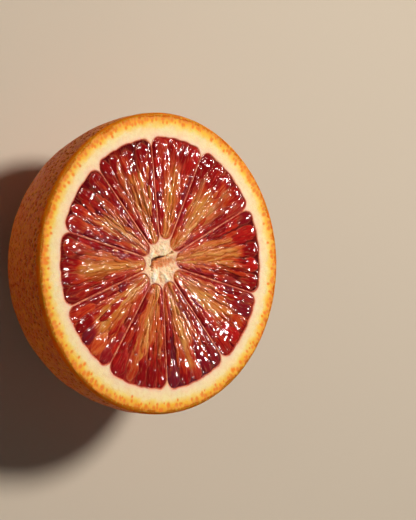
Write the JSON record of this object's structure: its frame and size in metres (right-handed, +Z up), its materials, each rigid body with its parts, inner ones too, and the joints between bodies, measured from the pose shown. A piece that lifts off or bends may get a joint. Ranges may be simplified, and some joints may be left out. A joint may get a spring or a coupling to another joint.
{
  "type": "blood orange half",
  "caption": "Half of a blood orange, cut across the fruit, lying on its dome with the cut face up: orange rind, pale pith and thin membranes around deep red segments of pulp.",
  "frame": {"origin": "middle of the small flat spot on the rounded end, which the half rests on", "axes": "+Z up, out of the cut face; +X and +Y lie in the plane of the cut face, +X towards the widest segment and +Y along the cut face, a quarter turn anticlockwise from +X seen from above"},
  "size_m": [0.072, 0.072, 0.0371],
  "materials": {
    "peel": "waxy dimpled orange rind; on the cut, a yellow line of oil glands and cream pith",
    "pulp": "wet, translucent crimson to amber juice sacs"
  },
  "bodies": {
    "root": {"peel_and_membranes": "peel", "segment_01": "pulp", "segment_02": "pulp", "segment_03": "pulp", "segment_04": "pulp", "segment_05": "pulp", "segment_06": "pulp", "segment_07": "pulp", "segment_08": "pulp", "segment_09": "pulp", "segment_10": "pulp"}
  },
  "joints": []
}
